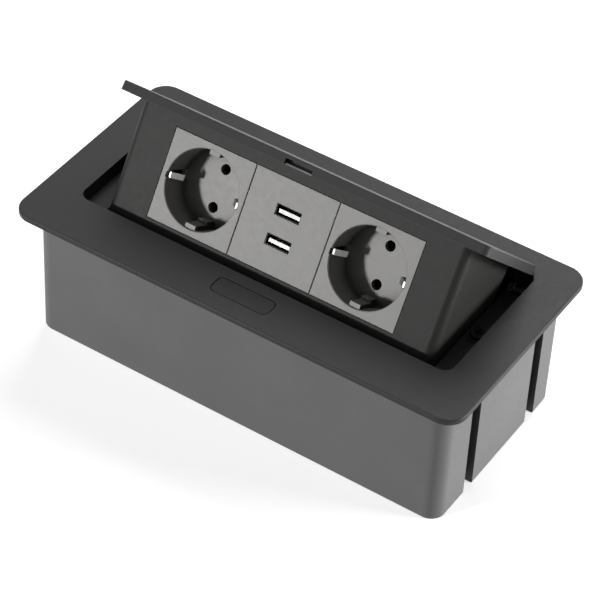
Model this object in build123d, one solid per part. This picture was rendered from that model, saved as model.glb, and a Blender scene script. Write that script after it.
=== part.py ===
from build123d import *
import os
from math import cos, radians, sin, sqrt

# Pop up desk socket: a tabletop frame with a box hung under it, and a wedge shaped socket carrier
# that tilts up under its own lid. It is drawn with the lid shut and written with it open.
# Millimetres. Z is up, the box stands on z = 0, X runs along the length and -Y is the button side.

overrun = 3.0
fit_gap = 0.03
slide_gap = 0.3

# Tabletop frame
flange_end_margin = 19.5
flange_front_margin = 26.5
flange_rear_margin = 14.6
flange_thick = 2.8
flange_corner_radius = 10.0
flange_edge_radius = 0.8
collar_wall = 2.0
collar_depth = 8.5
ledge_drop = 8.0
ledge_thick = 2.0
ledge_width = 11.1
ledge_rear_gap = 9.4
ledge_screw_inset = 5.7
ledge_screw_setback = 36.0
screw_ring_radius = 4.9
screw_ring_wall = 0.7
screw_ring_height = 0.8

# Box under the table
body_end_setback = 8.5
body_front_setback = 8.5
body_rear_setback = 6.5
body_height = 71.4
body_wall = 2.2
body_seat_depth = 0.8
body_floor = 2.0
body_corner_radius = 7.5
body_foot_radius = 0.8
groove_width = 7.8
groove_depth = 6.0
front_groove_setback = 31.6
rear_groove_inset = 25.6
post_wall = 1.5
post_rib = 2.0
boss_radius = 5.0
boss_length = 12.8
boss_rib = 3.0

# Ledge screws
frame_screw_radius = 1.7
frame_screw_length = 14.0
frame_head_radius = 3.7
frame_head_height = 2.2
cross_length_share = 1.15
cross_width_share = 0.26
cross_depth_share = 0.6

# Hinge
open_angle = 43.65
pivot_drop = 13.8
pin_radius = 1.5
pin_running_gap = 0.05
pin_tail = 1.0
pin_end_wall = 1.8
clip_radius = 2.9
clip_thick = 0.6
clip_gap = 0.2
clip_bite = 0.4
arm_thick = 2.0
arm_half_width = 3.6
arm_angle = 47.95
arm_screw_reach = 33.0
arm_screw_pitch = 11.0
arm_screw_radius = 1.4
arm_screw_length = 5.5
arm_head_radius = 2.7
spring_wire = 0.8
spring_radius = 2.3
spring_turns = 3
spring_leg = 5.0
barrel_radius = 4.0
barrel_length = 12.5
barrel_wall = 0.8
barrel_end_wall = 1.4
barrel_nose = 2.5
vane_thick = 1.6
flat_depth = 0.4

# Lid
lid_overhang = 10.0
lid_rear_overhang = 8.0
lid_thick = 4.7
lid_end_gap = 2.5
lid_front_gap = 1.1
lid_rear_gap = 8.4
lid_heel_gap = 0.45
lid_corner_radius = 3.0
lid_edge_radius = 0.5
latch_slot_length = 14.7
latch_slot_depth = 4.0
latch_slot_drop = 1.9
strike_thick = 0.7
strike_length = 26.0
strike_setback = 1.5
strike_depth = 4.7
strike_screw_spacing = 20.6
strike_screw_inset = 3.8
strike_screw_radius = 0.8
strike_screw_length = 2.6
strike_head_radius = 1.5
strike_head_height = 0.6

# Socket carrier
carrier_depth = 54.6
carrier_heel = 21.0
carrier_heel_rise = 17.6
carrier_side_wall = 2.2
carrier_wall = 2.0
carrier_front_wall = 3.0
carrier_edge_radius = 4.0
panel_lean = 12.16
panel_end = 21.0
panel_setback = 6.8
panel_head = 5.2
panel_foot = 8.0
back_thick = 2.0
back_gap = 0.15
back_sill = 3.0
back_boss = 7.0
back_boss_depth = 9.0
back_screw_drops = (12.0, 26.0)
back_screw_radius = 1.4
back_screw_length = 8.0
back_head_radius = 2.6
back_head_height = 1.6
vent_length = 12.0
vent_width = 2.0
vent_pitch = 5.0
vent_count = 4
lead_hole_radius = 4.5
lid_screw_inset = 10.5
lid_screw_setbacks = (22.4, 50.4)
lid_screw_radius = 1.4
lid_screw_length = 4.4
lid_head_radius = 2.7
lid_head_height = 1.5
arm_boss_radius = 3.4
arm_boss_length = 5.0

# Modules: three squares of 45 mm on one mounting frame
module_pitch = 45.0
module_face_inset = 0.2
module_gap = 0.3
module_edge_radius = 0.3
module_side_inset = 1.3
module_top_inset = 2.1
mount_frame_end = 8.5
mount_frame_rim = 1.7
mount_frame_thick = 2.0
mount_frame_gap = 0.3
mount_screw_inset = 3.6
mount_screw_drop = 7.5
mount_screw_radius = 1.2
mount_screw_length = 4.0
mount_head_radius = 2.2
mount_head_height = 1.3

# Earthed socket recess for two pins 19 mm apart
recess_rim = 3.2
recess_depth = 17.5
recess_floor = 2.8
recess_bevel = 0.4
pin_spacing = 19.0
pin_hole_radius = 2.6
key_width = 5.4
key_reach = 2.3
key_drop = 1.2
key_step_height = 6.0
key_step_reach = 1.6
earth_slot_gap = 0.35
earth_mouth_reach = 0.7
earth_width = 2.8
earth_thick = 0.8
earth_bulge = 6.0
earth_lip_inset = 1.9
earth_bulge_drops = (1.7, 7.2, 7.9, 16.6)
earth_side_gap = 0.8
earth_post_radius = 1.5
base_side_inset = 3.0
base_top_inset = 7.5
base_gap = 0.2
pin_length = 19.0
pin_end_gap = 0.3
contact_radius = 3.3
contact_bore_radius = 2.45
contact_setback = 4.0
contact_floor = 0.5
contact_tail_radius = 1.5
contact_tail = 0.6
contact_slit = 0.8
bore_gap = 0.2
socket_screw_inset = 4.5
socket_screw_share = 0.25
socket_screw_radius = 1.0
socket_screw_bite = 1.6
socket_head_radius = 1.8
socket_head_height = 0.9
busbar_width = 4.6
busbar_thick = 0.8
busbar_overhang = 4.0

# Charger module
port_length = 13.3
port_height = 5.7
port_spacing = 14.4
port_gap = 0.1
shell_recess = 0.3
shell_length = 17.5
shell_wall = 0.3
tongue_length = 11.2
tongue_thick = 1.8
tongue_recess = 1.4
tongue_drop = 0.5
tongue_root = 4.0
pad_width = 1.0
pad_length = 7.0
pad_thick = 0.15
pad_shares = (-0.36, -0.12, 0.12, 0.36)
case_top_inset = 5.5
case_rear_gap = 2.0
case_wall = 1.6
board_margin = 1.0
board_thick = 1.6
board_post_radius = 1.8
board_post_inset = 3.0
core_length = 15.0
core_height = 14.0
core_depth = 10.0
core_wall = 3.0
core_offset = 8.0
core_gap = 0.2
capacitor_radius = 4.0
capacitor_depth = 11.0
capacitor_offset = 10.0
capacitor_spacing = 10.0

# Supply terminals
terminal_length = 20.0
terminal_rim = 4.0
terminal_depth = 5.8
terminal_hole_radius = 1.6
terminal_screw_radius = 1.2
terminal_head_radius = 2.0
terminal_head_height = 1.2

# Button and latch
button_length = 31.0
button_width = 10.3
button_corner_radius = 3.0
button_inset = 9.7
button_thick = 2.5
button_gap = 0.3
button_travel = 2.2
button_edge_radius = 0.4
lip_gap = 0.2
lip_thick = 1.2
lip_width = 7.0
lip_reach = 1.8
lip_length = 6.9
guide_inset = 4.0
guide_radius = 1.6
guide_gap = 0.15
guide_tail = 1.0
stem_width = 8.0
stem_thick = 2.4
stem_setback = 6.4
stem_length = 4.0
wedge_gap = 0.2
slider_length = 14.0
slider_thick = 1.8
slider_drop = 6.7
slider_front_gap = 0.3
ramp_rise = 1.6
ramp_front = 4.4
nose_thick = 1.2
nose_drop = 2.4
nose_length = 12.0
nose_entry = 1.8
nose_bevel = 0.7
riser_thick = 1.6
riser_gap = 0.3
spring_tab_half = 2.5
spring_tab_drop = 3.4
bracket_side_room = 2.5
bracket_wall = 1.6
bracket_drop = 12.0
bracket_side_gap = 0.4
bracket_tab = 8.0
bracket_tab_width = 7.0
guide_rib_half = 5.0
guide_rib_gap = 0.1
guide_wall = 1.0
bracket_screw_radius = 1.0
bracket_screw_bite = 2.0
bracket_head_radius = 1.9
bracket_head_height = 1.2
button_spring_wire = 0.5
button_spring_radius = 2.2
button_spring_turns = 4
latch_spring_wire = 0.35
latch_spring_radius = 1.2
latch_spring_turns = 5

# Supply inlet
inlet_inset = 52.0
inlet_height = 22.0
inlet_bore_radius = 4.0
grommet_neck_wall = 2.0
grommet_flange_radius = 7.8
grommet_lip = 1.5
saddle_length = 24.0
saddle_width = 8.0
saddle_setback = 5.0
clamp_bar = 3.5
clamp_gap = 1.0
clamp_screw_spacing = 16.0
clamp_screw_radius = 1.5
clamp_screw_bite = 8.0
clamp_head_radius = 2.8
clamp_head_height = 1.8

# Places worked out from the sizes above
top = body_height + flange_thick
carrier_length = 3 * module_pitch + 2 * panel_end
lid_length = carrier_length + 2 * lid_overhang
lid_depth = panel_setback + carrier_depth + lid_rear_overhang
opening_length = lid_length + 2 * lid_end_gap
opening_width = lid_front_gap + lid_depth + lid_rear_gap
opening_corner_radius = lid_corner_radius + lid_end_gap
flange_length = opening_length + 2 * flange_end_margin
flange_width = flange_front_margin + opening_width + flange_rear_margin
flange_front = -flange_width / 2
opening_front = flange_front + flange_front_margin
opening_rear = flange_width / 2 - flange_rear_margin
opening_y = (opening_rear + opening_front) / 2
opening_end = opening_length / 2
body_length = flange_length - 2 * body_end_setback
body_width = flange_width - body_front_setback - body_rear_setback
body_front = flange_front + body_front_setback
body_rear = body_front + body_width
body_y = body_front + body_width / 2
body_end = body_length / 2
inner_end = body_end - body_wall
inner_front = body_front + body_wall
inner_rear = body_rear - body_wall
collar_under = top - collar_depth
ledge_top = top - ledge_drop
ledge_under = ledge_top - ledge_thick
ledge_screw_x = opening_end - ledge_screw_inset
ledge_screw_y = opening_front + ledge_screw_setback
pivot_y = opening_rear
pivot_z = top - pivot_drop
boss_x = inner_end - boss_length
lid_front = opening_front + lid_front_gap
lid_rear = opening_rear - lid_rear_gap
lid_under = top - lid_thick
carrier_end = carrier_length / 2
carrier_front = lid_front + panel_setback
carrier_rear = carrier_front + carrier_depth
inside_end = carrier_end - carrier_side_wall
module_face = module_pitch - 2 * module_face_inset
module_body_length = module_pitch - 2 * module_side_inset
module_body_height = module_pitch - 2 * module_top_inset
mount_frame_length = 3 * module_pitch + 2 * mount_frame_end
mount_frame_height = module_pitch + 2 * mount_frame_rim
mount_screw_spacing = module_pitch - 2 * mount_screw_drop
recess_radius = module_pitch / 2 - recess_rim
base_length = module_pitch - 2 * base_side_inset
base_height = module_pitch - 2 * base_top_inset
case_height = module_pitch - 2 * case_top_inset
socket_screw_x = base_length / 2 - socket_screw_inset
socket_screw_y = pin_spacing * socket_screw_share
terminal_height = pin_spacing + 2 * terminal_rim
lean_sin = sin(radians(panel_lean))
lean_cos = cos(radians(panel_lean))
module_fall = panel_head + module_pitch / 2
module_y = carrier_front + module_fall * lean_sin
module_z = lid_under - module_fall * lean_cos
sill_fall = module_fall + module_pitch / 2 + panel_foot
sill_y = carrier_front + sill_fall * lean_sin
sill_z = lid_under - sill_fall * lean_cos
panel = Plane(origin=(0, module_y, module_z), x_dir=(1, 0, 0), z_dir=(0, -lean_cos, -lean_sin))
panels = {name: panel * Pos(place * module_pitch, 0, 0) for name, place in (("left", -1), ("right", 1))}
face_back = -carrier_front_wall
cover_back = -recess_depth - recess_floor
base_front = cover_back - base_gap
contact_front = base_front - contact_setback
contact_bottom = -recess_depth - pin_length - pin_end_gap
contact_back = contact_bottom - contact_floor
base_back = contact_back - contact_tail
busbar_back = base_back - busbar_thick
recess_side = module_body_length / 2
earth_out = recess_side - earth_side_gap + earth_thick / 2
strap_back = cover_back - base_gap / 2 - earth_thick
port_offsets = {"lower": -port_spacing / 2, "upper": port_spacing / 2}
board_front = -shell_recess - shell_length
board_back = board_front - board_thick
case_inside = board_back - capacitor_depth - case_rear_gap
case_back = case_inside - case_wall
arm_x = carrier_end + arm_thick
lip_inner_half = button_length / 2 - lip_length
guide_spacing = button_length - 2 * guide_inset
bracket_inner_half = button_length / 2 + bracket_side_room
button_front = flange_front + button_inset
button_y = button_front + button_width / 2
button_under = top - button_thick
lip_top = body_height - lip_gap
lip_under = lip_top - lip_thick
slider_top = top - slider_drop
slider_under = slider_top - slider_thick
riser_rear = opening_front - collar_wall - riser_gap
riser_front = riser_rear - riser_thick
slider_front = inner_front + slider_front_gap + button_travel
stem_front = button_front + stem_setback
stem_rear = stem_front + stem_thick
stem_under = button_under - stem_length
wedge_sum = stem_front + stem_under + stem_thick
ramp_sum = wedge_sum - wedge_gap * sqrt(2)
ramp_top = slider_top + ramp_rise
window_rear = stem_rear + button_travel + slide_gap
bracket_top = top - bracket_drop
bracket_under = bracket_top - bracket_wall
bracket_front = inner_front + bracket_side_gap
bracket_rear = opening_front - collar_wall - bracket_side_gap
inlet_x = inlet_inset - body_end
saddle_rear = inner_rear - saddle_setback
saddle_y = saddle_rear - saddle_width / 2
saddle_top = inlet_height - inlet_bore_radius
clamp_low = saddle_top + clamp_gap
clamp_top = inlet_height + inlet_bore_radius + clamp_bar


def slab(x, y, z):
    spans = (x, y, z)
    sizes = [max(span) - min(span) for span in spans]
    middle = [sum(span) / 2 for span in spans]
    return Pos(*middle) * Box(*sizes)


def disc(x, y, z, radius, height):
    """An upright cylinder that rises from z."""
    return Pos(x, y, z + height / 2) * Cylinder(radius, height)


def bar(radius, x, y, z):
    """A round bar along X between two places."""
    return Pos(sum(x) / 2, y, z) * Rot(0, 90, 0) * Cylinder(radius, max(x) - min(x))


def bar_y(radius, x, y, z):
    """A round bar along Y between two places."""
    return Pos(x, sum(y) / 2, z) * Rot(90, 0, 0) * Cylinder(radius, max(y) - min(y))


def rounded(length, width, height, radius, y, z):
    """A block with round upright corners, centred on x = 0 and standing on z."""
    return Pos(0, y, z) * extrude(RectangleRounded(length, width, radius), height)


def prism(points, x):
    """An outline in Y and Z, drawn out along X."""
    outline = Polygon(*points, align=None)
    return extrude(Plane.YZ.offset(min(x)) * outline, max(x) - min(x), dir=(1, 0, 0))


def screw(seat, outward, radius, length, head_radius, head_height, sunk=False):
    """A cross slot screw whose head sits on a place and faces outward, or lies flush there if sunk."""
    base = -head_height if sunk else 0
    if sunk:
        head = Pos(0, 0, base / 2) * Cone(radius, head_radius, head_height)
    else:
        head = disc(0, 0, 0, head_radius, head_height)
    shank = disc(0, 0, -length, radius, length + base)
    arm = head_radius * cross_length_share
    width = head_radius * cross_width_share
    depth = head_height * cross_depth_share
    face = base + head_height
    cross = Pos(0, 0, face) * (Box(arm, width, 2 * depth) + Box(width, arm, 2 * depth))
    return Plane(origin=seat, z_dir=outward) * (head + shank - cross)


def coil(radius, wire, turns, length):
    """A spring on the Z axis from z = 0 up, with its wire inside the length."""
    run = length - wire
    path = Helix(pitch=run / turns, height=run, radius=radius)
    start = Plane(origin=path @ 0, z_dir=path % 0)
    spring = sweep(start * Circle(wire / 2), path=path, is_frenet=True)
    return Pos(0, 0, wire / 2) * spring


def both(make):
    """The same piece made at both ends of the part."""
    return [make(side) for side in (-1, 1)]


def tilted(shape):
    """Turn a piece from the shut place to the open one."""
    return shape.rotate(Axis((0, pivot_y, pivot_z), (1, 0, 0)), -open_angle)


def opening_block(grow, low, high):
    length = opening_length + 2 * grow
    width = opening_width + 2 * grow
    return rounded(length, width, high - low, opening_corner_radius + grow, opening_y, low)


def top_frame():
    plate = rounded(flange_length, flange_width, flange_thick, flange_corner_radius, 0, body_height)
    plate = fillet(plate.faces().sort_by(Axis.Z)[-1].edges(), flange_edge_radius)
    collar = opening_block(collar_wall, collar_under, top - flange_thick / 2)
    frame = plate + collar - opening_block(0, collar_under - overrun, top + overrun)
    limit = opening_block(collar_wall, ledge_under, ledge_top)
    ledge_rear = opening_rear - ledge_rear_gap
    for side in (-1, 1):
        x = (side * (opening_end - ledge_width), side * (opening_end + collar_wall))
        y = (opening_front - collar_wall, ledge_rear)
        frame += slab(x, y, (ledge_under, ledge_top)) & limit
        place = (side * ledge_screw_x, ledge_screw_y)
        frame += disc(*place, ledge_top, screw_ring_radius, screw_ring_height)
        well = screw_ring_radius - screw_ring_wall
        frame -= disc(*place, ledge_top, well, screw_ring_height + overrun)
        through = ledge_thick + 2 * overrun
        frame -= disc(*place, ledge_under - overrun, frame_screw_radius + slide_gap, through)
    hole_length = button_length + 2 * button_gap
    hole_width = button_width + 2 * button_gap
    hole_radius = button_corner_radius + button_gap
    hole_height = flange_thick + 2 * overrun
    frame -= rounded(hole_length, hole_width, hole_height, hole_radius, button_y, body_height - overrun)
    nose_end = nose_length / 2 + slide_gap
    y = (riser_front - button_travel - slide_gap, opening_front + overrun)
    z = (top - nose_drop - nose_thick - slide_gap, top - nose_drop + slide_gap)
    frame -= slab((-nose_end, nose_end), y, z)
    for place in bracket_screw_places():
        frame -= disc(*place, body_height - overrun, bracket_screw_radius, bracket_screw_bite + overrun)
    return frame - body_walls(fit_gap, body_height - overrun, overrun + body_seat_depth)


def grooves():
    places = []
    for side in (-1, 1):
        places.append((side, body_front + front_groove_setback - groove_width))
        places.append((side, body_rear - rear_groove_inset))
    return places


def groove_box(side, y, grow):
    x = (side * (body_end - groove_depth - grow), side * (body_end + overrun))
    return slab(x, (y - grow, y + groove_width + grow), (-overrun, top))


def body_hollow(inset, low, height):
    length = body_length - 2 * inset
    width = body_width - 2 * inset
    hollow = rounded(length, width, height, body_corner_radius - inset, body_y, low)
    for side, y in grooves():
        hollow -= groove_box(side, y, inset)
    return hollow


def body_walls(grow, low, height):
    """The upright walls of the box, grown on both faces. The frame's seat is cut with them."""
    length = body_length + 2 * grow
    width = body_width + 2 * grow
    walls = rounded(length, width, height, body_corner_radius + grow, body_y, low)
    walls -= body_hollow(body_wall + grow, low, height)
    for side, y in grooves():
        walls -= groove_box(side, y, -grow)
    return walls


def housing_box():
    height = body_height + body_seat_depth
    outside = rounded(body_length, body_width, height, body_corner_radius, body_y, 0)
    outside = fillet(outside.faces().sort_by(Axis.Z)[0].edges(), body_foot_radius)
    box = outside - body_hollow(body_wall, body_floor, height)
    for side, y in grooves():
        box -= groove_box(side, y, 0)
    post_radius = frame_screw_radius + post_wall
    for side in (-1, 1):
        x = side * ledge_screw_x
        box += disc(x, ledge_screw_y, body_floor / 2, post_radius, ledge_under - body_floor / 2)
        rib_y = (ledge_screw_y - post_rib / 2, ledge_screw_y + post_rib / 2)
        box += slab((x, side * (body_end - body_wall / 2)), rib_y, (body_floor / 2, ledge_under))
        depth = frame_screw_length - ledge_thick + clip_gap
        box -= disc(x, ledge_screw_y, ledge_under - depth, frame_screw_radius + fit_gap, depth + overrun)
        ends = (side * boss_x, side * (body_end - body_wall / 2))
        box += bar(boss_radius, ends, pivot_y, pivot_z)
        rib_y = (pivot_y - boss_rib / 2, pivot_y + boss_rib / 2)
        box += slab(ends, rib_y, (body_floor / 2, pivot_z))
    bore = (-boss_x + overrun, -inner_end + pin_end_wall)
    box -= bar(pin_radius + fit_gap, bore, pivot_y, pivot_z)
    bore = (boss_x - overrun, boss_x - barrel_nose + barrel_length + fit_gap)
    box -= bar(barrel_radius + fit_gap, bore, pivot_y, pivot_z)
    pocket = button_length / 2 + 2 * button_gap
    y = (button_front - button_gap, inner_front + overrun)
    z = (button_under - button_travel - 2 * button_gap, top)
    box -= slab((-pocket, pocket), y, z)
    box += slab(saddle_x(), (saddle_y - saddle_width / 2, saddle_rear), (body_floor / 2, saddle_top))
    box -= bar_y(grommet_neck(), inlet_x, (inner_rear - overrun, body_rear + overrun), inlet_height)
    for place in clamp_screw_places():
        low = saddle_top - clamp_screw_bite - clip_gap
        box -= disc(*place, low, clamp_screw_radius + fit_gap, clamp_screw_bite + overrun)
    return box


def saddle_x():
    return (inlet_x - saddle_length / 2, inlet_x + saddle_length / 2)


def clamp_screw_places():
    return [(inlet_x + side * clamp_screw_spacing / 2, saddle_y) for side in (-1, 1)]


def grommet_neck():
    return inlet_bore_radius + grommet_neck_wall


def cord_clamp():
    """A bridge over the cord's way, screwed down to the saddle."""
    block = slab(saddle_x(), (saddle_y - saddle_width / 2, saddle_rear), (clamp_low, clamp_top))
    way = (inlet_x - inlet_bore_radius, inlet_x + inlet_bore_radius)
    block -= slab(way, (saddle_y - saddle_width, inner_rear), (clamp_low - overrun, clamp_top - clamp_bar))
    for place in clamp_screw_places():
        height = clamp_top - clamp_low + 2 * overrun
        block -= disc(*place, clamp_low - overrun, clamp_screw_radius + slide_gap, height)
    return block


def cord_clamp_screws():
    length = clamp_top - saddle_top + clamp_screw_bite
    sizes = (clamp_screw_radius, length, clamp_head_radius, clamp_head_height)
    return [screw((*place, clamp_top), (0, 0, 1), *sizes) for place in clamp_screw_places()]


def cable_grommet():
    wall = (inner_rear, body_rear)
    outside = (inner_rear - grommet_lip, body_rear + grommet_lip)
    ring = bar_y(grommet_neck() - fit_gap, inlet_x, outside, inlet_height)
    ring += bar_y(grommet_flange_radius, inlet_x, (outside[0], wall[0]), inlet_height)
    ring += bar_y(grommet_flange_radius, inlet_x, (wall[1], outside[1]), inlet_height)
    through = (outside[0] - overrun, outside[1] + overrun)
    return ring - bar_y(inlet_bore_radius, inlet_x, through, inlet_height)


def frame_screws():
    sizes = (frame_screw_radius, frame_screw_length, frame_head_radius, frame_head_height)
    return both(lambda side: screw((side * ledge_screw_x, ledge_screw_y, ledge_top), (0, 0, 1), *sizes))


def clip_span(side):
    inner = carrier_end - clip_gap
    return (side * (inner - clip_thick), side * inner)


def clip_groove(side):
    x = clip_span(side)
    ring = bar(pin_radius + overrun, x, pivot_y, pivot_z)
    return ring - bar(pin_radius - clip_bite, x, pivot_y, pivot_z)


def retaining_clip(side):
    x = clip_span(side)
    ring = bar(clip_radius, x, pivot_y, pivot_z)
    ring -= bar(pin_radius - clip_bite + fit_gap, x, pivot_y, pivot_z)
    slot = pin_radius - clip_bite
    return ring - slab(x, (pivot_y - slot, pivot_y + slot), (pivot_z, pivot_z + clip_radius + overrun))


def hinge_pin():
    inner = clip_span(-1)[0] + clip_thick + pin_tail
    pin = bar(pin_radius, (-inner_end + pin_end_wall + fit_gap, inner), pivot_y, pivot_z)
    return pin - clip_groove(-1)


def torsion_spring():
    space = boss_x - arm_x
    length = space - 2 * slide_gap
    wound = coil(spring_radius, spring_wire, spring_turns, length)
    start = Vector(spring_radius, 0, spring_wire / 2)
    leg = Pos(start.X, -spring_leg / 2, start.Z) * Rot(90, 0, 0) * Cylinder(spring_wire / 2, spring_leg)
    end = Pos(start.X, spring_leg / 2, length - start.Z) * Rot(90, 0, 0)
    wound = wound + leg + end * Cylinder(spring_wire / 2, spring_leg)
    place = Plane(origin=(-boss_x + slide_gap, pivot_y, pivot_z), x_dir=(0, 0, -1), z_dir=(1, 0, 0))
    return place * wound


def damper_barrel():
    start = boss_x - barrel_nose
    outside = bar(barrel_radius, (start, start + barrel_length), pivot_y, pivot_z)
    room = (start + barrel_end_wall, start + barrel_length - barrel_end_wall)
    outside -= bar(barrel_radius - barrel_wall, room, pivot_y, pivot_z)
    return outside - bar(pin_radius + pin_running_gap, (start - overrun, room[0] + overrun), pivot_y, pivot_z)


def damper_rotor():
    start = boss_x - barrel_nose
    room = (start + barrel_end_wall + slide_gap, start + barrel_length - barrel_end_wall - slide_gap)
    inner = clip_span(1)[0] - pin_tail
    shaft = bar(pin_radius, (inner, room[1]), pivot_y, pivot_z)
    shaft -= shaft_flat((carrier_end - clip_gap, arm_x + clip_gap), 0)
    vane = bar(barrel_radius - barrel_wall - slide_gap, room, pivot_y, pivot_z)
    half = vane_thick / 2
    vane &= slab(room, (pivot_y - half, pivot_y + half), (0, top))
    return shaft + vane - clip_groove(1)


def shaft_flat(x, gap):
    low = pivot_z + pin_radius - flat_depth + gap
    return slab(x, (pivot_y - 2 * pin_radius, pivot_y + 2 * pin_radius), (low, low + pin_radius))


def arm_point(reach):
    lean_down = radians(arm_angle)
    return (pivot_y - reach * cos(lean_down), pivot_z - reach * sin(lean_down))


def arm_screw_points():
    return [arm_point(arm_screw_reach + step * arm_screw_pitch) for step in (0, 1)]


def hinge_arm(side):
    x = (side * carrier_end, side * arm_x)
    reach = arm_screw_reach + arm_screw_pitch
    near = arm_point(0)
    far = arm_point(reach)
    middle = arm_point(reach / 2)
    strip = Pos(sum(x) / 2, *middle) * Rot(arm_angle, 0, 0) * Box(arm_thick, reach, 2 * arm_half_width)
    strip += bar(arm_half_width, x, *near) + bar(arm_half_width, x, *far)
    if side < 0:
        strip -= bar(pin_radius + pin_running_gap, x, *near)
    else:
        strip -= bar(pin_radius + fit_gap, x, *near) - shaft_flat(x, fit_gap)
    for point in arm_screw_points():
        strip -= sunk_room(side, point)
    return strip


def sunk_room(side, point):
    """The countersunk hole of an arm screw."""
    seat = Plane(origin=(side * arm_x, *point), z_dir=(side, 0, 0))
    cone = Pos(0, 0, -arm_thick / 2) * Cone(arm_screw_radius + fit_gap, arm_head_radius + fit_gap, arm_thick)
    return seat * cone


def hinge_arm_screws():
    sizes = (arm_screw_radius, arm_screw_length, arm_head_radius, arm_thick)
    screws = []
    for side in (-1, 1):
        for point in arm_screw_points():
            screws.append(screw((side * arm_x, *point), (side, 0, 0), *sizes, sunk=True))
    return screws


def heel_cut():
    """The lid's rear lower edge is cut back so that it clears the frame when it is open."""
    angle = radians(open_angle)
    edge_y = pivot_y - pivot_drop * sin(angle)
    edge_z = pivot_z + pivot_drop * cos(angle)
    cut = (lid_rear - edge_y) + (edge_z - lid_under) + lid_heel_gap * sqrt(2)
    points = ((lid_rear - cut, lid_under), (lid_rear, lid_under + cut), (lid_rear + cut, lid_under))
    return prism(points, (-lid_length, lid_length))


def lid_plate():
    lid_y = (lid_front + lid_rear) / 2
    lid = rounded(lid_length, lid_depth, lid_thick, lid_corner_radius, lid_y, lid_under)
    lid = fillet(lid.faces().sort_by(Axis.Z)[-1].edges(), lid_edge_radius)
    lid -= heel_cut()
    half = latch_slot_length / 2
    y = (lid_front - overrun, lid_front + latch_slot_depth)
    lid -= slab((-half, half), y, (lid_under, top - latch_slot_drop))
    lid -= strike_block(fit_gap)
    for place in strike_screw_places():
        lid -= disc(*place, lid_under, strike_screw_radius + fit_gap, strike_screw_length)
    for place in lid_screw_places():
        lid -= disc(*place, lid_under - overrun, lid_screw_radius, overrun + lid_screw_length - carrier_wall)
    return lid


def strike_block(grow):
    half = strike_length / 2 + grow
    y = (lid_front + strike_setback - grow, lid_front + strike_setback + strike_depth + grow)
    return slab((-half, half), y, (lid_under, lid_under + strike_thick + grow))


def strike_screw_places():
    return [(side * strike_screw_spacing / 2, lid_front + strike_screw_inset) for side in (-1, 1)]


def strike_plate():
    plate = strike_block(0)
    sink = Cone(strike_head_radius + fit_gap, strike_screw_radius + fit_gap, strike_head_height)
    for place in strike_screw_places():
        plate -= disc(*place, lid_under - overrun, strike_screw_radius + fit_gap, strike_thick + 2 * overrun)
        plate -= Pos(*place, lid_under + strike_head_height / 2) * sink
    return plate


def strike_screws():
    sizes = (strike_screw_radius, strike_screw_length, strike_head_radius, strike_head_height)
    return [screw((*place, lid_under), (0, 0, -1), *sizes, sunk=True) for place in strike_screw_places()]


def lid_screw_places():
    x = carrier_end - lid_screw_inset
    return [(side * x, lid_front + setback) for side in (-1, 1) for setback in lid_screw_setbacks]


def lid_screws():
    sizes = (lid_screw_radius, lid_screw_length, lid_head_radius, lid_head_height)
    seat = lid_under - carrier_wall
    return [screw((*place, seat), (0, 0, -1), *sizes) for place in lid_screw_places()]


def carrier_outline():
    heel_y = carrier_rear - carrier_heel
    heel_z = sill_z + carrier_heel_rise
    return ((carrier_front, lid_under), (sill_y, sill_z), (heel_y, sill_z),
            (carrier_rear, heel_z), (carrier_rear, lid_under))


def edges_at(shape, points):
    """The edge of a shape whose middle lies nearest to each point."""
    chosen = []
    for point in points:
        chosen.append(shape.edges().sort_by(lambda edge: (edge @ 0.5 - Vector(*point)).length)[0])
    return chosen


def carrier_room():
    """The carrier's inside, open at the back."""
    outline = Polygon(*carrier_outline(), align=None)
    inner = offset(outline, -carrier_wall, kind=Kind.INTERSECTION)
    room = extrude(Plane.YZ.offset(-inside_end) * inner, 2 * inside_end, dir=(1, 0, 0))
    room &= slab((-inside_end, inside_end), (carrier_front, carrier_rear), (sill_z, lid_under - carrier_wall))
    room -= panel * Box(carrier_length, 2 * sill_fall, 2 * carrier_front_wall)
    heel_z = sill_z + carrier_heel_rise + back_sill
    y = (carrier_rear - back_thick - fit_gap, carrier_rear + overrun)
    return room + slab((-inside_end, inside_end), y, (heel_z, lid_under - carrier_wall))


def back_screw_places():
    x = inside_end - back_boss / 2
    return [(side * x, lid_under - drop) for side in (-1, 1) for drop in back_screw_drops]


def carrier_shell():
    shell = prism(carrier_outline(), (-carrier_end, carrier_end))
    middle = ((carrier_front + sill_y) / 2, (lid_under + sill_z) / 2)
    shell = fillet(edges_at(shell, both(lambda side: (side * carrier_end, *middle))), carrier_edge_radius)
    shell -= carrier_room()
    window_length = 2 * module_pitch + module_face + 2 * module_gap
    window_height = module_face + 2 * module_gap
    shell -= panel * Box(window_length, window_height, 3 * carrier_front_wall)
    inner_back = carrier_rear - back_thick
    for x, z in back_screw_places():
        half = back_boss / 2
        y = (inner_back - back_boss_depth, inner_back)
        shell += slab((x - half, x + half), y, (z - half, z + half))
        deep = (inner_back - back_screw_length, inner_back + overrun)
        shell -= bar_y(back_screw_radius + fit_gap, x, deep, z)
    for side in (-1, 1):
        for point in arm_screw_points():
            ends = (side * (inside_end - arm_boss_length), side * (carrier_end - carrier_side_wall / 2))
            shell += bar(arm_boss_radius, ends, *point)
            deep = (side * (arm_x - arm_screw_length - clip_gap), side * (carrier_end + overrun))
            shell -= bar(arm_screw_radius + fit_gap, deep, *point)
    for place in lid_screw_places():
        low = lid_under - carrier_wall - overrun
        shell -= disc(*place, low, lid_screw_radius + slide_gap, carrier_wall + 2 * overrun)
    for x, y in mount_screw_places():
        deep = mount_screw_length - mount_frame_thick + clip_gap
        shell -= panel * disc(x, y, face_back - overrun, mount_screw_radius + fit_gap, deep + overrun)
    return shell


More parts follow.
